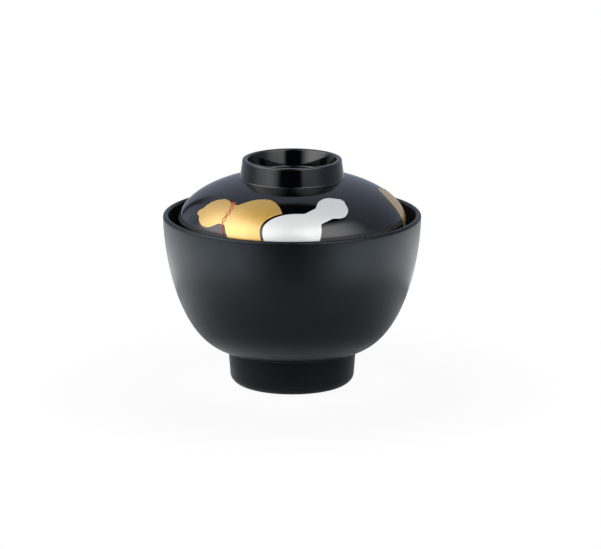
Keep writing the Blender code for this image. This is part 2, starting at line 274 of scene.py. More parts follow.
# %% [markdown]
# ## The lid
# The dome is part of a flat ellipse and ends in a crisp edge on an upright skirt. The skirt drops inside the
# bowl's rim until the wall stops it. The grip ring on top is turned from the same blank, so ring and dome are
# one profile with a small fillet between them. Upside down the lid is a dish, and the ring is its foot.

# %% Lid
LID_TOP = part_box("lid")[1].z
LID_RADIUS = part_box("lid")[1].x
LID_EDGE_WALL = 0.0024
LID_WALL = 0.0027
SKIRT_LEAN = 0.0003                  # how far the skirt's top stands in from its lower edge
SKIRT_RADIUS = LID_RADIUS - SKIRT_LEAN
DOME_BASE = 0.0149                   # from the skirt's lower edge up to the ellipse's centre
DOME_RISE = 0.0217
DOME_OVERHANG = 0.0003               # how far the whole ellipse would stand out past the skirt
DOME_CENTRE = (0.0, LID_EDGE_HEIGHT + DOME_BASE)
DOME_RADII = (SKIRT_RADIUS + DOME_OVERHANG, DOME_RISE)
DOME_END = math.degrees(math.acos(SKIRT_RADIUS / DOME_RADII[0]))
DOME_EDGE_FILLET = 0.0008
GRIP_TOP_RADIUS = 0.0211
GRIP_BASE_RADIUS = 0.0222
GRIP_WALL = 0.0021
GRIP_EDGE = 0.0006
GRIP_FILLET = 0.0004
GRIP_RECESS_DEPTH = 0.0075
GRIP_RECESS_DRAFT = 0.0014
GRIP_RECESS_FILLET = 0.0006
RECESS_POINTS = 30
DOME_POINTS = 110


def lid_profile():
    """Recess, grip ring, dome, edge and underside, from axis to axis.

    The dome and its underside are arcs of two ellipses round one centre.
    """
    recess_floor = LID_TOP - GRIP_RECESS_DEPTH
    inner_top = (GRIP_TOP_RADIUS - GRIP_WALL, LID_TOP)
    inner_floor = (inner_top[0] - GRIP_RECESS_DRAFT, recess_floor)
    outer_top = (GRIP_TOP_RADIUS, LID_TOP)
    base_height = DOME_CENTRE[1] + DOME_RADII[1] * math.sqrt(1 - (GRIP_BASE_RADIUS / DOME_RADII[0]) ** 2)
    base = (GRIP_BASE_RADIUS, base_height)
    dome_start = math.degrees(math.acos((GRIP_BASE_RADIUS + 2 * GRIP_FILLET) / DOME_RADII[0]))
    dome = arc(DOME_CENTRE, DOME_RADII, dome_start, DOME_END, DOME_POINTS)
    edge = LID_EDGE_WALL / 2
    edge_arc = arc((LID_RADIUS - edge, LID_EDGE_HEIGHT + edge), (edge, edge), 0, -180, LIP_POINTS)
    under_rise = recess_floor - LID_WALL - DOME_CENTRE[1]
    underside = arc(DOME_CENTRE, (SKIRT_RADIUS - LID_WALL, under_rise), 0, 90, DOME_POINTS)
    underside[-1, 0] = 0.0
    return np.concatenate([
        [(0.0, recess_floor)],
        fillet((0.0, recess_floor), inner_floor, inner_top, GRIP_RECESS_FILLET, RECESS_POINTS),
        fillet(inner_floor, inner_top, outer_top, GRIP_EDGE),
        fillet(inner_top, outer_top, base, GRIP_EDGE),
        fillet(outer_top, base, dome[0], GRIP_FILLET), dome[:-3],
        fillet(dome[-4], dome[-1], edge_arc[0], DOME_EDGE_FILLET), edge_arc, underside])


lid = turned("lacquered_lid", lid_profile(), TURN_COLUMNS)
close_seams(lid)
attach(lid, "lid")
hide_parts("lid")

# %% [markdown]
# ## A flat plan of the lid
# The gourds were drawn on something flat before they went on the dome. So the dome gets a plan: a point's
# distance from the plan's centre is its way down the dome from the apex, measured along the surface. What
# lies on the lid is drawn in that plan and then laid on the dome, with a lift at right angles to the lacquer.

# %% Plan of the lid
MERIDIAN_POINTS = 600
dome_line = arc(DOME_CENTRE, DOME_RADII, 90, DOME_END, MERIDIAN_POINTS)
skirt_line = np.linspace(dome_line[-1], (LID_RADIUS, LID_EDGE_HEIGHT + LID_EDGE_WALL / 2), MERIDIAN_POINTS)
meridian = np.concatenate([dome_line, skirt_line[1:]])
meridian_outward = outward_of(meridian)
meridian_length = np.concatenate([[0.0], np.cumsum(np.linalg.norm(np.diff(meridian, axis=0), axis=1))])


def lay_on_lid(flat, lift):
    """Wrap plan points on the lid: distance becomes arc length, and the lift follows the outward normal."""
    distance = np.linalg.norm(flat, axis=-1)

    def along_meridian(values):
        return np.interp(distance, meridian_length, values)

    radius = along_meridian(meridian[:, 0]) + lift * along_meridian(meridian_outward[:, 0])
    height = along_meridian(meridian[:, 1]) + lift * along_meridian(meridian_outward[:, 1])
    return np.concatenate([flat * (radius / distance)[..., None], height[..., None]], axis=-1)


print(f"from apex to edge along the lid: {MM * meridian_length[-1]:.1f} mm")

# %% [markdown]
# ## Gourds in gold and silver
# A bottle gourd is an old lucky motif: a large bulb, a waist, a small bulb and a stub of stem. It could be
# traced as a curve. Here its half width is worked out along its axis as a smooth maximum of bulbs, waist and
# stem, so that each keeps a size of its own, and the silver gourd leans to one side. The leaf is a closed
# skin, a tenth of a millimetre thick, whose edges roll down to the lacquer. The silver gourd lies in front,
# so each line of the gold grid starts where it leaves the bare line round the silver.

# %% Gourd outlines
# Sizes of the bulbs, waist and stem, and then the place: the large bulb's centre above the lid's edge, where
# it lies round the lid, and the way that the stem points in the plan.
Gourd = namedtuple("Gourd", "lower end shoulder upper waist spacing stem bend above_edge azimuth heading")
GOLD = Gourd(lower=0.0144, end=0.0156, shoulder=0.0125, upper=0.0078, waist=0.0056, spacing=0.0221,
             stem=0.0022, bend=0.0,
             above_edge=0.0245, azimuth=math.radians(-23.2), heading=math.radians(138.6))
SILVER = Gourd(lower=0.0135, end=0.0115, shoulder=0.0147, upper=0.0066, waist=0.0044, spacing=0.0261,
               stem=0.0010, bend=-0.0072,
               above_edge=0.0172, azimuth=math.radians(-1.2), heading=math.radians(60.7))
SIDE_GOLD = GOLD._replace(above_edge=0.0190, azimuth=math.radians(93.0), heading=math.radians(105.0))
BACK_TURN = math.radians(176.0)
BACK_SILVER = SILVER._replace(azimuth=SILVER.azimuth + BACK_TURN, heading=SILVER.heading + BACK_TURN)
STEM_BASE = 0.0022                   # half the stem's width, at the bulb and at its end
STEM_TIP = 0.0009
BULB_POWER = 1.7
OUTLINE_POWER = 5


def half_width(along, gourd):
    """Half the outline's width: the fifth root of the summed fifth powers of bulbs, waist and stem.

    The large bulb is an ellipse with the power 1.7 in place of 2, and the small one is a circle.
    """
    lower_length = np.where(along < 0, gourd.end, gourd.shoulder)
    fullness = np.clip(1 - np.abs(along / lower_length) ** BULB_POWER, 0, 1) ** (1 / BULB_POWER)
    lower = gourd.lower * fullness
    upper = np.sqrt(np.clip(gourd.upper ** 2 - (along - gourd.spacing) ** 2, 0, None))
    waist = np.where((along > 0) & (along < gourd.spacing), gourd.waist, 0)
    beyond = along - gourd.spacing - gourd.upper
    stem = np.interp(beyond, (-gourd.upper, 0, gourd.stem), (0, STEM_BASE, STEM_TIP))
    parts = np.stack([lower, upper, waist, stem])
    return np.sum(parts ** OUTLINE_POWER, axis=0) ** (1 / OUTLINE_POWER)


def lean(along, gourd):
    """How far a bent gourd has leaned to one side: its bend times 3s2 - 2s3, with s from bulb to bulb."""
    share = np.clip(along / gourd.spacing, 0, 1)
    return gourd.bend * share ** 2 * (3 - 2 * share)


def axes_of(gourd):
    """Centre of the large bulb in the plan, and unit vectors along and across the gourd."""
    distance = meridian_length[-1] - gourd.above_edge
    centre = distance * np.array([math.sin(gourd.azimuth), -math.cos(gourd.azimuth)])
    along = np.array([math.cos(gourd.heading), math.sin(gourd.heading)])
    across = np.array([-math.sin(gourd.heading), math.cos(gourd.heading)])
    return centre, along, across


def in_plan(along, across, gourd):
    """Plan points of places that are given along and across a gourd."""
    centre, along_axis, across_axis = axes_of(gourd)
    sideways = across + lean(along, gourd)
    return centre + along[..., None] * along_axis + sideways[..., None] * across_axis


def tip_of(gourd):
    """Where the stem ends, along the gourd."""
    return gourd.spacing + gourd.upper + gourd.stem


print("gourd lengths in mm:", [round(MM * (tip_of(gourd) + gourd.end), 1) for gourd in (GOLD, SILVER)])

# %% Gourd leaves
LEAF_THICKNESS = 0.00012
LEAF_ROLL = 0.0003                   # how far in from its edge a leaf reaches its full thickness
LEAF_ROWS = 150
LEAF_COLUMNS = 65
BARE_LINE = 0.0013                   # between the silver gourd and the gold one behind it
SEARCH_POINTS = 3000
leaf_side = np.sin(np.linspace(-np.pi / 2, np.pi / 2, LEAF_COLUMNS))
leaf_rise = 0.5 - 0.5 * np.cos(np.linspace(0, np.pi, LEAF_ROWS))


def gold_start():
    """For each line of the gold grid, the last place along it that lies inside the silver's bare line."""
    widths = ("lower", "end", "shoulder", "upper", "waist")
    grown = SILVER._replace(**{width: getattr(SILVER, width) + BARE_LINE for width in widths})
    along = np.linspace(-GOLD.end, GOLD.spacing, SEARCH_POINTS)[:, None] + 0 * leaf_side
    flat = in_plan(along, leaf_side * half_width(along, GOLD), GOLD)
    centre, along_axis, across_axis = axes_of(SILVER)
    silver_along = (flat - centre) @ along_axis
    silver_across = (flat - centre) @ across_axis - lean(silver_along, SILVER)
    covered = np.abs(silver_across) < half_width(silver_along, grown)
    last = SEARCH_POINTS - 1 - np.argmax(covered[::-1], axis=0)
    return np.where(covered.any(axis=0), along[last, 0], -GOLD.end)


def rolled(gap, reach):
    """Share of the full height at a gap from an edge: a quarter circle over the reach, then level."""
    return np.sqrt(1 - (1 - np.clip(gap / reach, 0, 1)) ** 2)


def leaf(name, gourd, start):
    """A leaf: the gourd's outline filled with a grid, lifted by its rolled edges, over a flat bottom."""
    along = start + (tip_of(gourd) - start) * leaf_rise[:, None]
    width = half_width(along, gourd)
    flat = in_plan(along, leaf_side * width, gourd)
    lift = LEAF_THICKNESS * rolled((1 - np.abs(leaf_side)) * width, LEAF_ROLL)
    lift = lift * rolled(along - start, LEAF_ROLL) * rolled(tip_of(gourd) - along, LEAF_ROLL)
    top = lay_on_lid(flat, lift).reshape(-1, 3)
    bottom = lay_on_lid(flat, 0 * lift).reshape(-1, 3)
    quads = grid_quads(LEAF_ROWS, LEAF_COLUMNS)
    faces = np.concatenate([quads, quads[:, ::-1] + len(top)])
    made = make_object(name, np.concatenate([top, bottom]), faces.tolist())
    close_seams(made)
    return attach(made, "lid")


gold_leaves = [leaf("gold_leaf_1", GOLD, gold_start()),
               leaf("gold_leaf_2", SIDE_GOLD, np.full(LEAF_COLUMNS, -SIDE_GOLD.end))]
silver_leaves = [leaf("silver_leaf_1", SILVER, np.full(LEAF_COLUMNS, -SILVER.end)),
                 leaf("silver_leaf_2", BACK_SILVER, np.full(LEAF_COLUMNS, -BACK_SILVER.end))]
for metal, leaves in (("gold", gold_leaves), ("silver", silver_leaves)):
    for number, piece in enumerate(leaves, start=1):
        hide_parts(f"{metal}_gourd_{number}")
print("leaves:", len(gold_leaves), "gold,", len(silver_leaves), "silver")

# %% [markdown]
# ## The red cord
# A gourd bottle is carried on a cord, so each gold gourd has one painted round its waist: two strands that
# twist round each other, a small bow on one side and two loose ends on the other. On the real lid it is
# drawn with a fine brush in raised red lacquer. A bevelled curve would do, but it wouldn't follow the dome.
# Here an ellipse is carried along each stroke of the brush in the plan, and the whole is laid on the lid.

# %% Brush strokes
STROKE_HALF_WIDTH = 0.00023
STROKE_HEIGHT = 0.00010
STROKE_LIFT = 0.00014                # middle of a stroke above the lacquer
STROKE_SIDES = 12


def stroke(along, across, weave, gourd, side):
    """An ellipse carried along a path on the lid; its radii fall to zero in a quarter circle at both ends.

    Point = path + level times half width times cosine, lifted by the stroke's lift, its weave over or under
    the other strand, and its height times sine. The side, 1 or -1, tells on which side the tails hang.
    """
    path = in_plan(along, side * across, gourd)
    step = np.gradient(path, axis=0)
    length = np.linalg.norm(step, axis=1)
    level = np.stack([-step[:, 1], step[:, 0]], axis=1) / length[:, None]
    way = np.cumsum(length) - length[0]
    fullness = rolled(np.minimum(way, way[-1] - way), STROKE_HALF_WIDTH)[:, None]
    angle = np.linspace(0, 2 * np.pi, STROKE_SIDES, endpoint=False)
    spread = fullness * STROKE_HALF_WIDTH * np.cos(angle)
    lift = STROKE_LIFT + weave[:, None] + fullness * STROKE_HEIGHT * np.sin(angle)
    return lay_on_lid(path[:, None, :] + level[:, None, :] * spread[..., None], lift)


# %% Cords
CORD_ALONG = 0.01310                 # where the cord crosses the gold gourd
CORD_REACH = 0.0050                  # from the gourd's axis to where the strands meet
KNOT = (0.0149, -0.0060)             # along and across the gourd
KNOT_POWER = 2
TAIL = (0.0108, 0.0100)              # where the loose ends stop, along and across
TAIL_POWER = 1.3
TAIL_SPREAD = 0.00045
TAIL_SWING = 0.8                     # of half a wave
TWIST_WIDTH = 0.00078
TWISTS = 1.5
WEAVE = 0.00005
BOW_LENGTH = 0.0011
BOW_WIDTH = 0.0006
BOW_START = 0.3
STROKE_POINTS = 140


def cord_line(across):
    """Where the cord runs along the gourd: level at the waist, rising to the knot and falling to the tail.

    The rise goes with the square of the way there, and the fall with its power 1.3.
    """
    to_knot = np.clip(across / KNOT[1], 0, 1)
    to_tail = np.clip((across - CORD_REACH) / (TAIL[1] - CORD_REACH), 0, 1)
    rise = (KNOT[0] - CORD_ALONG) * to_knot ** KNOT_POWER
    fall = (TAIL[0] - CORD_ALONG) * to_tail ** TAIL_POWER
    return CORD_ALONG + rise + fall


def cord(name, gourd, side):
    """Two strands as opposite sine waves, a bow as a figure of eight, and two tails that drift apart."""
    t = np.linspace(0, 1, STROKE_POINTS)
    wave = 2 * np.pi * TWISTS * t
    waist = CORD_REACH * (2 * t - 1)
    tail = CORD_REACH + (TAIL[1] - CORD_REACH) * t
    strokes = []
    for way in (1, -1):
        twisted = cord_line(waist) + way * TWIST_WIDTH * np.sin(wave)
        strokes.append(stroke(twisted, waist, way * WEAVE * np.cos(wave), gourd, side))
        drifting = cord_line(tail) + way * TAIL_SPREAD * np.sin(np.pi * t * TAIL_SWING)
        strokes.append(stroke(drifting, tail, 0 * t, gourd, side))
    turn = 2 * np.pi * t
    bow_along = KNOT[0] + BOW_LENGTH * np.sin(turn + BOW_START)
    bow_across = KNOT[1] + BOW_WIDTH * np.sin(2 * (turn + BOW_START))
    strokes.append(stroke(bow_along, bow_across, WEAVE * np.cos(turn), gourd, side))
    quads = grid_quads(STROKE_POINTS, STROKE_SIDES, wrap=True)
    count = STROKE_POINTS * STROKE_SIDES
    faces = np.concatenate([quads + number * count for number in range(len(strokes))])
    made = make_object(name, np.stack(strokes).reshape(-1, 3), faces.tolist())
    close_seams(made)
    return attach(made, "lid")


cords = [cord("red_cord_1", GOLD, 1), cord("red_cord_2", SIDE_GOLD, -1)]

# %% [markdown]
# ## Nodes by hand
# A finish is a small network of nodes. It could be drawn in the shader editor. In a script one helper adds a
# node, sets its options, and fills each input with a number or a link. The others do what comes up again and
# again: mixing two colours, mapping a range, masks with soft edges, and raising the surface a little.


# %% Node helpers
def add(tree, kind, inputs=None, **options):
    """Add a shader node; an input that is a socket is linked, and any other is set as a value."""
    node = tree.nodes.new("ShaderNode" + kind)
    for name, value in options.items():
        setattr(node, name, value)
    for name, value in (inputs or {}).items():
        if isinstance(value, bpy.types.NodeSocket):
            tree.links.new(value, node.inputs[name])
        else:
            node.inputs[name].default_value = value
    return node


def mixed(tree, factor, first, second):
    """Colour socket that goes from the first colour to the second as the factor goes from 0 to 1."""
    return add(tree, "Mix", {0: factor, 6: first, 7: second}, data_type="RGBA").outputs[2]


def blended(tree, factor, first, second):
    """Value socket that goes from the first value to the second as the factor goes from 0 to 1."""
    return add(tree, "Mix", {0: factor, 2: first, 3: second}).outputs[0]


def sums(tree, operation, first, second=0.0):
    """Value socket of one sum, such as MULTIPLY of two values or ABSOLUTE of one."""
    return add(tree, "Math", {0: first, 1: second}, operation=operation).outputs["Value"]


def ranged(tree, value, limits, low, high, smooth=True):
    """Value socket that goes from low to high between two limits of a value, and stays there beyond them."""
    inputs = {"Value": value, "From Min": limits[0], "From Max": limits[1], "To Min": low, "To Max": high}
    kind = "SMOOTHSTEP" if smooth else "LINEAR"
    return add(tree, "MapRange", inputs, interpolation_type=kind).outputs["Result"]


def between(tree, share, ends):
    """Value socket that goes straight from the first end to the second as the share goes from 0 to 1."""
    return ranged(tree, share, (0.0, 1.0), *ends, smooth=False)


def rising(tree, value, limits):
    """Mask that rises smoothly from 0 to 1 between two limits of a value."""
    return ranged(tree, value, limits, 0.0, 1.0)


def falling(tree, value, limits):
    """Mask that falls smoothly from 1 to 0 between two limits of a value."""
    return ranged(tree, value, limits, 1.0, 0.0)


def band(tree, value, start, end):
    """Mask of a band with soft edges: it rises between the start's limits and falls between the end's."""
    return sums(tree, "MULTIPLY", rising(tree, value, start), falling(tree, value, end))


def raised(tree, shader, height, depth, strength):
    """Raise the shader's surface by a height from 0 to 1 times a depth, through a Bump node."""
    bump = add(tree, "Bump", {"Height": height, "Distance": depth, "Strength": strength})
    tree.links.new(bump.outputs["Normal"], shader.inputs["Normal"])


def new_material(name):
    """A material with its tree, its Principled shader and the object's own coordinates."""
    material = bpy.data.materials.new(name)
    material.use_nodes = True
    tree = material.node_tree
    place = add(tree, "TexCoord").outputs["Object"]
    return material, tree, tree.nodes["Principled BSDF"], place


def new_group(name, inputs, outputs):
    """An empty node group with its sockets, and its input and output nodes."""
    tree = bpy.data.node_groups.new(name, "ShaderNodeTree")
    for socket, kind in inputs.items():
        tree.interface.new_socket(socket, in_out="INPUT", socket_type="NodeSocket" + kind)
    for socket, kind in outputs.items():
        tree.interface.new_socket(socket, in_out="OUTPUT", socket_type="NodeSocket" + kind)
    return tree, tree.nodes.new("NodeGroupInput").outputs, tree.nodes.new("NodeGroupOutput").inputs


def place_group(tree, group, inputs):
    """Put a group into a material with its own values; returns its outputs."""
    return add(tree, "Group", inputs, node_tree=group).outputs


# %% [markdown]
# ## What sprayed lacquer shows
# Lacquer is never quite flat: it dries with a faint orange peel, wiping leaves it a little hazy in broad
# patches, and a few specks of dust settle on it. Bowl and lid share these, so they are one node group, and
# each material chooses how wide and how strong they are.

# %% Lacquer group
PEEL_DETAIL = 1.5
HAZE_SCALE = 34.0
HAZE_DETAIL = 4.0
HAZE_ROUGHNESS = 0.6
HAZE_LIMITS = (0.35, 0.7)
SPECK_EDGE = (0.02, 0.06)            # a speck's soft edge, as a share of its cell
SPECK_CHOICE = (0.86, 0.88)          # only cells whose random number lies above this hold a speck
skin, skin_in, skin_out = new_group(
    "lacquer_skin", {"Place": "Vector", "Peel Scale": "Float", "Speck Scale": "Float"},
    {"Peel": "Float", "Haze": "Float", "Specks": "Float"})
peel = add(skin, "TexNoise", {"Vector": skin_in["Place"], "Scale": skin_in["Peel Scale"],
                              "Detail": PEEL_DETAIL})
skin.links.new(peel.outputs["Fac"], skin_out["Peel"])
haze = add(skin, "TexNoise", {"Vector": skin_in["Place"], "Scale": HAZE_SCALE, "Detail": HAZE_DETAIL,
                              "Roughness": HAZE_ROUGHNESS})
skin.links.new(rising(skin, haze.outputs["Fac"], HAZE_LIMITS), skin_out["Haze"])
specks = add(skin, "TexVoronoi", {"Vector": skin_in["Place"], "Scale": skin_in["Speck Scale"]})
near = falling(skin, specks.outputs["Distance"], SPECK_EDGE)
chosen = add(skin, "SeparateColor", {"Color": specks.outputs["Color"]}).outputs["Red"]
few = rising(skin, chosen, SPECK_CHOICE)
skin.links.new(sums(skin, "MULTIPLY", near, few), skin_out["Specks"])
print("lacquer group:", len(skin.nodes), "nodes")

# %% [markdown]
# ## Rubbed edges
# Hands, trays and the dishcloth rub a bowl where it stands out: on the lip, on the foot's lower edge and on
# top of the grip ring. There the black turns a little greyer, and satin lacquer a little smoother. A painted
# mask could say where. A band round a given height, broken up by noise, does it without one.

# %% Rubbing group
RUB_SCALE = 420.0
RUB_DETAIL = 3.0
RUB_LIMITS = (0.4, 0.65)
RUB_LEAST = 0.6                      # how much rubbing is left between the patches
rub, rub_in, rub_out = new_group(
    "rubbed_edge", {"Place": "Vector", "Height": "Float", "Band": "Float"}, {"Rubbed": "Float"})
level = add(rub, "SeparateXYZ", {"Vector": rub_in["Place"]}).outputs["Z"]
away = sums(rub, "ABSOLUTE", sums(rub, "SUBTRACT", level, rub_in["Height"]))
closeness = falling(rub, sums(rub, "DIVIDE", away, rub_in["Band"]), (0.0, 1.0))
patches = add(rub, "TexNoise", {"Vector": rub_in["Place"], "Scale": RUB_SCALE, "Detail": RUB_DETAIL})
broken = ranged(rub, patches.outputs["Fac"], RUB_LIMITS, RUB_LEAST, 1.0)
rub.links.new(sums(rub, "MULTIPLY", closeness, broken), rub_out["Rubbed"])
print("rubbing group:", len(rub.nodes), "nodes")

# %% [markdown]
# ## Satin black lacquer
# The bowl's outside is silky: black, with a soft and slightly cool reflection that spreads over the whole
# wall. Black lacquer is almost all reflection, so roughness is the setting that matters. It changes gently
# with the haze, and the rubbed lip and foot are a little smoother.

# %% Satin lacquer
SATIN_BLACK = (0.0022, 0.0028, 0.0034, 1.0)
SATIN_WORN = (0.009, 0.010, 0.011, 1.0)
SATIN_TINT = (0.80, 0.91, 1.0, 1.0)
SATIN_ROUGHNESS = (0.31, 0.36)
SATIN_PEEL = {"Peel Scale": 900.0, "Speck Scale": 160.0}
SATIN_PEEL_DEPTH = 0.00001
PEEL_STRENGTH = 0.5
LIP_BAND = 0.0009
FOOT_BAND = 0.0022
RUBBED_ROUGHNESS = 0.27
RUBBED_GREY = 0.6                    # how much of the worn colour rubbing brings out
satin, tree, shader, place = new_material("satin_black_lacquer")
shader.inputs["Specular Tint"].default_value = SATIN_TINT
surface = place_group(tree, skin, {"Place": place, **SATIN_PEEL})
lip = place_group(tree, rub, {"Place": place, "Height": RIM_HEIGHT, "Band": LIP_BAND})["Rubbed"]
foot = place_group(tree, rub, {"Place": place, "Height": 0.0, "Band": FOOT_BAND})["Rubbed"]
rubbed = sums(tree, "MAXIMUM", lip, foot)
worn = sums(tree, "MAXIMUM", sums(tree, "MULTIPLY", rubbed, RUBBED_GREY), surface["Specks"])
tree.links.new(mixed(tree, worn, SATIN_BLACK, SATIN_WORN), shader.inputs["Base Color"])
hazy = between(tree, surface["Haze"], SATIN_ROUGHNESS)
tree.links.new(blended(tree, rubbed, hazy, RUBBED_ROUGHNESS), shader.inputs["Roughness"])
raised(tree, shader, surface["Peel"], SATIN_PEEL_DEPTH, PEEL_STRENGTH)
bowl.data.materials.append(satin)
print("satin lacquer:", len(tree.nodes), "nodes")

# %% [markdown]
# ## Shaded foot and lip
# Foot and lip give back less light than the wall. Both are the same lacquer, so two copies of the material
# with a weaker reflection do it: painted shade that keeps the foot dark and takes the highlight off the lip.
# A mask on the reflection would not survive an export, so each face gets its material by its height.

# %% Foot and lip
# painted shade: the foot's and the lip's copies of the lacquer reflect less, so both come out darker
FOOT_SPECULAR = 0.2
LIP_SPECULAR = 0.25
for name, specular in (("shaded_black_foot", FOOT_SPECULAR), ("shaded_black_lip", LIP_SPECULAR)):
    shaded_copy = satin.copy()
    shaded_copy.name = name
    shaded_copy.node_tree.nodes["Principled BSDF"].inputs["Specular IOR Level"].default_value = specular
    bowl.data.materials.append(shaded_copy)
centres = np.empty(3 * len(bowl.data.polygons), dtype=np.float32)
bowl.data.polygons.foreach_get("center", centres)
on_foot = (centres[2::3] < FOOT_HEIGHT - FOOT_JUNCTION_FILLET / 2).astype(np.int32)
on_lip = (centres[2::3] > RIM_HEIGHT - LIP_WALL / 2).astype(np.int32)
bowl.data.polygons.foreach_set("material_index", on_foot + 2 * on_lip)
print("faces of the foot:", on_foot.sum(), "and of the lip:", on_lip.sum())

# %% [markdown]
# ## Polished black lacquer
# The lid is polished until it mirrors the room, so its roughness is low. The peel is wider and far shallower
# than on the bowl: enough to keep a reflected edge from looking ruled, and no more. Low on the dome, where
# the lid goes in and out of the bowl, the polish is hazy. There the black is also painted a little grey, a
# painted sheen that keeps the lid's lower edge lit down to the bowl's rim.

# %% Gloss lacquer
GLOSS_BLACK = (0.0010, 0.0011, 0.0014, 1.0)
GLOSS_WORN = (0.010, 0.010, 0.011, 1.0)
GLOSS_ROUGHNESS = (0.05, 0.09)
GLOSS_PEEL = {"Peel Scale": 320.0, "Speck Scale": 220.0}
GLOSS_PEEL_DEPTH = 0.000004
RING_BAND = 0.0006
RING_GREY = 0.5
SPECK_GREY = 0.6
SHOULDER_LOW = (0.0719, 0.0724)      # heights between which the hazy shoulder starts
SHOULDER_HIGH = (0.0735, 0.0752)     # and ends
SHOULDER_ROUGHNESS = 0.48
# painted sheen: low on the dome the black is painted grey, so that the lid's edge looks lit
PAINTED_SHEEN_HIGH = (0.0727, 0.0741)         # heights between which its grey ends
PAINTED_SHEEN_GREY = (0.028, 0.028, 0.029, 1.0)
gloss, tree, shader, place = new_material("gloss_black_lacquer")
surface = place_group(tree, skin, {"Place": place, **GLOSS_PEEL})
ring = place_group(tree, rub, {"Place": place, "Height": LID_TOP, "Band": RING_BAND})["Rubbed"]
worn = sums(tree, "MAXIMUM", sums(tree, "MULTIPLY", ring, RING_GREY),
            sums(tree, "MULTIPLY", surface["Specks"], SPECK_GREY))
height = add(tree, "SeparateXYZ", {"Vector": place}).outputs["Z"]
# painted sheen: the band low on the dome where the black is painted grey
edge = band(tree, height, SHOULDER_LOW, PAINTED_SHEEN_HIGH)
black = mixed(tree, worn, GLOSS_BLACK, GLOSS_WORN)
tree.links.new(mixed(tree, edge, black, PAINTED_SHEEN_GREY), shader.inputs["Base Color"])
hazy = between(tree, surface["Haze"], GLOSS_ROUGHNESS)
shoulder = band(tree, height, SHOULDER_LOW, SHOULDER_HIGH)
tree.links.new(blended(tree, shoulder, hazy, SHOULDER_ROUGHNESS), shader.inputs["Roughness"])
raised(tree, shader, surface["Peel"], GLOSS_PEEL_DEPTH, PEEL_STRENGTH)
lid.data.materials.append(gloss)
print("gloss lacquer:", len(tree.nodes), "nodes")

# %% [markdown]
# ## Gold and silver
# Metal powder is sifted on wet lacquer, burnished and sealed with a clear coat, so a leaf shines, but softly:
# each grain leans a little differently. A fine noise moves colour, roughness and height together, and a slow
# one gives the leaf thin and thick places. Gold and silver share the group.

# %% Leaf group
GRAIN_DETAIL = 3.0
DRIFT_SCALE = 90.0
DRIFT_DETAIL = 2.0
LEAF_LIMITS = (0.3, 0.7)             # where nearly all values of a noise lie
grain, grain_in, grain_out = new_group(
    "leaf_grain", {"Place": "Vector", "Grain Scale": "Float"}, {"Grain": "Float", "Drift": "Float"})
powder = add(grain, "TexNoise", {"Vector": grain_in["Place"], "Scale": grain_in["Grain Scale"],
                                 "Detail": GRAIN_DETAIL})
grain.links.new(rising(grain, powder.outputs["Fac"], LEAF_LIMITS), grain_out["Grain"])
drift = add(grain, "TexNoise", {"Vector": grain_in["Place"], "Scale": DRIFT_SCALE, "Detail": DRIFT_DETAIL})
grain.links.new(rising(grain, drift.outputs["Fac"], LEAF_LIMITS), grain_out["Drift"])
print("leaf group:", len(grain.nodes), "nodes")

# %% Leaf metals
GRAIN_SCALE = 3800.0
GRAIN_SHARE = 0.35                   # of the tone; the rest is the drift's
GRAIN_DEPTH = 0.00001
GRAIN_STRENGTH = 0.35
COAT_WEIGHT = 1.0
COAT_ROUGHNESS = 0.2


def leaf_metal(name, deep, pale, roughness, metallic):
    """A powdered metal: colour and roughness follow the drift and the grain, and the grain is raised."""
    material, tree, shader, place = new_material(name)
    shader.inputs["Metallic"].default_value = metallic
    shader.inputs["Coat Weight"].default_value = COAT_WEIGHT
    shader.inputs["Coat Roughness"].default_value = COAT_ROUGHNESS
    surface = place_group(tree, grain, {"Place": place, "Grain Scale": GRAIN_SCALE})
    tone = blended(tree, GRAIN_SHARE, surface["Drift"], surface["Grain"])
    tree.links.new(mixed(tree, tone, deep, pale), shader.inputs["Base Color"])
    tree.links.new(between(tree, tone, roughness), shader.inputs["Roughness"])
    raised(tree, shader, surface["Grain"], GRAIN_DEPTH, GRAIN_STRENGTH)
    print(name, len(tree.nodes), "nodes")
    return material


gold_metal = leaf_metal("burnished_gold", deep=(0.465, 0.28, 0.060, 1.0), pale=(0.55, 0.345, 0.083, 1.0),
                        roughness=(0.52, 0.46), metallic=0.70)
silver_metal = leaf_metal("burnished_silver", deep=(0.50, 0.51, 0.51, 1.0), pale=(0.555, 0.56, 0.555, 1.0),
                          roughness=(0.60, 0.54), metallic=0.45)
for leaves, metal in ((gold_leaves, gold_metal), (silver_leaves, silver_metal)):
    for piece in leaves:
        piece.data.materials.append(metal)

# %% [markdown]
# ## Brick red
# The cord is drawn in red lacquer with a fine brush. Where the brush ran dry the red is darker and rougher.
# One noise for wet and dry moves colour, roughness and height together, as it does on the real strokes.

# %% Red lacquer
RED_DARK = (0.16, 0.022, 0.014, 1.0)
RED_BRIGHT = (0.40, 0.060, 0.030, 1.0)
RED_ROUGHNESS = (0.5, 0.32)
BRUSH_SCALE = 1300.0
BRUSH_DETAIL = 3.0
BRUSH_LIMITS = (0.35, 0.65)
BRUSH_DEPTH = 0.00002
BRUSH_STRENGTH = 0.4
red, tree, shader, place = new_material("brick_red_lacquer")
brush = add(tree, "TexNoise", {"Vector": place, "Scale": BRUSH_SCALE, "Detail": BRUSH_DETAIL})
wet = rising(tree, brush.outputs["Fac"], BRUSH_LIMITS)
tree.links.new(mixed(tree, wet, RED_DARK, RED_BRIGHT), shader.inputs["Base Color"])
tree.links.new(between(tree, wet, RED_ROUGHNESS), shader.inputs["Roughness"])
raised(tree, shader, brush.outputs["Fac"], BRUSH_DEPTH, BRUSH_STRENGTH)
for piece in cords:
    piece.data.materials.append(red)
print("red lacquer on", len(cords), "cords")

# %% [markdown]
# ## The soft boxes
# Black lacquer shows its surroundings more than itself, so the studio is part of its look. One large soft box
# stands on each side of the camera. Area lamps would do, but their edges are hard in a mirror. A glowing
# panel that fades at its edges gives the lid its gentle bands. The camera itself doesn't see the panels.

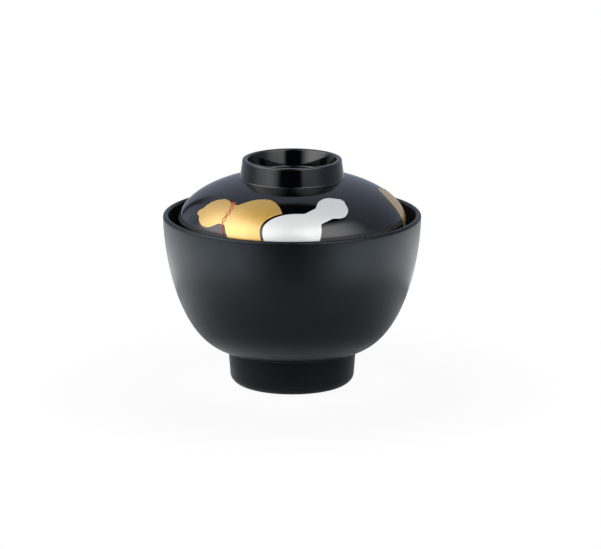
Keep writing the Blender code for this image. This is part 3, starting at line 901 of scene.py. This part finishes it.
# %% Soft boxes
# A panel's place and size in metres, its radiance, and where it fades: across, from the edge near the camera
# to the far edge, and upwards, both as shares of its width and height.
Panel = namedtuple("Panel", "azimuth elevation distance width height radiance inner outer lower upper")
PANELS = {
    "left_soft_box": Panel(
        azimuth=math.radians(-72), elevation=math.radians(36), distance=0.9, width=2.2, height=1.45,
        radiance=4.2, inner=(0.0, 0.40), outer=(0.57, 0.92), lower=(0.03, 0.25), upper=(0.60, 1.0)),
    "right_soft_box": Panel(
        azimuth=math.radians(50), elevation=math.radians(36), distance=0.9, width=1.9, height=1.45,
        radiance=3.8, inner=(0.15, 0.30), outer=(0.45, 0.85), lower=(0.04, 0.42), upper=(0.70, 0.92)),
}
PANEL_TARGET = np.array([0.0, 0.0, 0.07])
UP = (0.0, 0.0, 1.0)
WHITE = (1.0, 1.0, 1.0, 1.0)


def soft_box(name, panel):
    """A rectangle of light that faces the bowl: its centre plus shares of its width and its height.

    Its strength is the product of two bands with soft edges, one across it and one up it.
    """
    towards = direction(panel.azimuth, panel.elevation)
    side = math.copysign(1.0, panel.azimuth) * np.cross(UP, towards)
    side = side / np.linalg.norm(side)
    rise = np.cross(towards, side)
    rise = rise * np.sign(rise[2])
    centre = PANEL_TARGET + panel.distance * towards
    u, v = np.meshgrid((0.0, 1.0), (0.0, 1.0), indexing="ij")
    points = centre + (u[..., None] - 0.5) * panel.width * side + (v[..., None] - 0.5) * panel.height * rise
    made = make_object(name, points.reshape(-1, 3), grid_quads(2, 2).tolist())
    corners = made.data.uv_layers.new(name="panel")
    loop_corner = np.empty(len(made.data.loops), dtype=int)
    made.data.loops.foreach_get("vertex_index", loop_corner)
    corners.data.foreach_set("uv", np.stack([u.ravel(), v.ravel()], 1)[loop_corner].ravel())

    material = bpy.data.materials.new(name)
    material.use_nodes = True
    tree = material.node_tree
    tree.nodes.clear()
    spot = add(tree, "SeparateXYZ", {"Vector": add(tree, "UVMap", uv_map="panel").outputs["UV"]}).outputs
    lit = sums(tree, "MULTIPLY", band(tree, spot["X"], panel.inner, panel.outer),
               band(tree, spot["Y"], panel.lower, panel.upper))
    clear = add(tree, "BsdfTransparent").outputs[0]
    glow = add(tree, "Emission", {"Color": WHITE, "Strength": panel.radiance}).outputs[0]
    faded = add(tree, "MixShader", {0: lit, 1: clear, 2: glow}).outputs[0]
    tree.links.new(faded, add(tree, "OutputMaterial").inputs["Surface"])
    made.data.materials.append(material)
    made.visible_camera = False
    print(name, "centre", [round(float(value), 2) for value in centre])


for name, panel in PANELS.items():
    soft_box(name, panel)

# %% [markdown]
# ## The table
# The bowl stands on a small round white table. The camera sees it almost as white as the sweep behind, with a
# breath of shadow left under the bowl. The table's colour, which the lacquer mirrors, holds painted shade and
# painted light: it is greyer in front of the bowl than behind it, darker beside the foot and paler again
# close round the foot.

# %% Table
TABLE_RADIUS = 0.15
TABLE_RINGS = (0.0005, 0.03, 0.06, 0.1, TABLE_RADIUS)
TABLE_COLUMNS = 96
TABLE_TOP = -0.0002                  # just under the foot, so that the two share no plane
TABLE_BOTTOM = -0.002
TABLE_ROUGHNESS = 0.6
# painted shade and painted light in the table's colour: grey in front, darker beside the foot, paler close
# round it
TABLE_SHADED_GREY = (0.28, 0.85)            # in front of the bowl and behind it
GREY_TURN = (-0.08, 0.06)            # the places between which it changes, from front to back
TABLE_SHADE = 0.55                   # how much of that is left beside the foot
SHADE_REACH = (0.05, 0.14)
TABLE_PAINTED_LIGHT = 2.2                    # and how much paler it is close round the foot
PAINTED_LIGHT_REACH = (0.034, 0.055)
TABLE_NEAR = 0.94                    # how much of the sweep's white the camera sees beside the foot
NEAR_REACH = (0.07, 0.135)
BLACK = (0.0, 0.0, 0.0, 1.0)
table_profile = np.array([(0.0, TABLE_TOP)] + [(radius, TABLE_TOP) for radius in TABLE_RINGS]
                         + [(0.0, TABLE_BOTTOM)])
table = turned("white_table", table_profile, TABLE_COLUMNS)
table_white, tree, shader, place = new_material("white_table")
shader.inputs["Roughness"].default_value = TABLE_ROUGHNESS
distance = add(tree, "VectorMath", {0: place}, operation="LENGTH").outputs["Value"]
backwards = add(tree, "SeparateXYZ", {"Vector": place}).outputs["Y"]
# painted shade in front and beside the foot, and painted light close round it, in what the lacquer mirrors
grey = ranged(tree, backwards, GREY_TURN, *TABLE_SHADED_GREY)
shade = ranged(tree, distance, SHADE_REACH, TABLE_SHADE, 1.0)
painted_light_round_foot = ranged(tree, distance, PAINTED_LIGHT_REACH, TABLE_PAINTED_LIGHT, 1.0)
painted_shade_and_light = sums(tree, "MULTIPLY", sums(tree, "MULTIPLY", grey, shade), painted_light_round_foot)
tree.links.new(mixed(tree, painted_shade_and_light, BLACK, WHITE), shader.inputs["Base Color"])
whiteness = ranged(tree, distance, NEAR_REACH, TABLE_NEAR, 1.0)
seen = sums(tree, "MULTIPLY", whiteness, add(tree, "LightPath").outputs["Is Camera Ray"])
white = add(tree, "Emission", {"Color": WHITE, "Strength": 1.0})
both = add(tree, "MixShader", {0: seen, 1: shader.outputs[0], 2: white.outputs[0]})
tree.links.new(both.outputs[0], tree.nodes["Material Output"].inputs["Surface"])
table.data.materials.append(table_white)
print("table radius in mm:", MM * TABLE_RADIUS)

# %% [markdown]
# ## The sweep
# A sweep of pale paper runs round and under the table. It is far away, so the world can be it: white for the
# camera, and for reflections brightest on the floor below the table, greyer above, and dark overhead and
# where the camera stands. A dark lamp stand at the back and a brighter stretch beside it, both on the left,
# break up what the lid mirrors there. Soft light of one grey comes from all of it.

# %% Sweep
SWEEP_LEVELS = ((-1.0, 0.9), (-0.5, 1.5), (-0.30, 1.95), (-0.20, 0.55), (0.0, 0.38), (0.84, 0.48),
                (0.885, 0.0))        # sine of the elevation, and grey
SWEEP_TINTS = ((0.97, 1.0, 1.03), (0.85, 0.955, 1.20))       # on the floor, and above it
TINT_CHANGE = -0.1                   # sine of the elevation
AMBIENT_GREY = (0.45, 0.45, 0.45, 1.0)
CAMERA_GAP = (-0.97, -0.55)          # how much of a direction points backwards where the dark gap ends
STAND_AZIMUTH = math.radians(-155.5)
STAND_WIDTH = (math.radians(1.0), math.radians(6.0))
STAND_FOOT = (-0.04, 0.04)           # sines of the elevation
STAND_TOP = (0.25, 0.55)
STAND_GREY = 0.2
GLOW_BACK = (math.radians(-150.0), math.radians(-138.0))
GLOW_FRONT = (math.radians(-118.0), math.radians(-100.0))
GLOW_FOOT = (-0.1, 0.05)             # sines of the elevation
GLOW = 1.5
world = bpy.data.worlds.new("studio")
bpy.context.scene.world = world
world.use_nodes = True
tree = world.node_tree
tree.nodes.clear()
towards = add(tree, "SeparateXYZ", {"Vector": add(tree, "TexCoord").outputs["Generated"]}).outputs
ramp = add(tree, "ValToRGB", {"Fac": ranged(tree, towards["Z"], (-1.0, 1.0), 0.0, 1.0, smooth=False)})
stops = ramp.color_ramp.elements
while len(stops) < len(SWEEP_LEVELS):
    stops.new(1.0)
for stop, (sine, grey) in zip(stops, SWEEP_LEVELS):
    stop.position = 0.5 + 0.5 * sine
    stop.color = (*(grey * tint for tint in SWEEP_TINTS[sine > TINT_CHANGE]), 1.0)
print("sweep stops:", len(stops))

# %% What stands before the sweep
camera_gap = rising(tree, towards["Y"], CAMERA_GAP)
azimuth = sums(tree, "ARCTAN2", towards["X"], sums(tree, "MULTIPLY", towards["Y"], -1.0))
from_stand = sums(tree, "ABSOLUTE", sums(tree, "SUBTRACT", azimuth, STAND_AZIMUTH))
beside_stand = ranged(tree, from_stand, STAND_WIDTH, STAND_GREY, 1.0)
below_stand = falling(tree, towards["Z"], STAND_FOOT)
above_stand = rising(tree, towards["Z"], STAND_TOP)
around_stand = sums(tree, "MAXIMUM", beside_stand, sums(tree, "MAXIMUM", below_stand, above_stand))
left_glow = sums(tree, "MULTIPLY", band(tree, azimuth, GLOW_BACK, GLOW_FRONT),
                 rising(tree, towards["Z"], GLOW_FOOT))
brighter = between(tree, left_glow, (1.0, GLOW))
strength = sums(tree, "MULTIPLY", sums(tree, "MULTIPLY", camera_gap, around_stand), brighter)
sweep = add(tree, "VectorMath", {0: ramp.outputs["Color"], "Scale": strength}, operation="SCALE").outputs[0]
path = add(tree, "LightPath").outputs
for_camera = mixed(tree, path["Is Camera Ray"], sweep, WHITE)
mirrored = sums(tree, "MAXIMUM", path["Is Glossy Ray"], path["Is Transmission Ray"])
seen = sums(tree, "MAXIMUM", path["Is Camera Ray"], mirrored)
colour = mixed(tree, seen, AMBIENT_GREY, for_camera)
background = add(tree, "Background", {"Color": colour, "Strength": 1.0})
tree.links.new(background.outputs[0], add(tree, "OutputWorld").inputs["Surface"])
bpy.context.scene.view_settings.view_transform = "Standard"
print("sweep:", len(tree.nodes), "nodes")
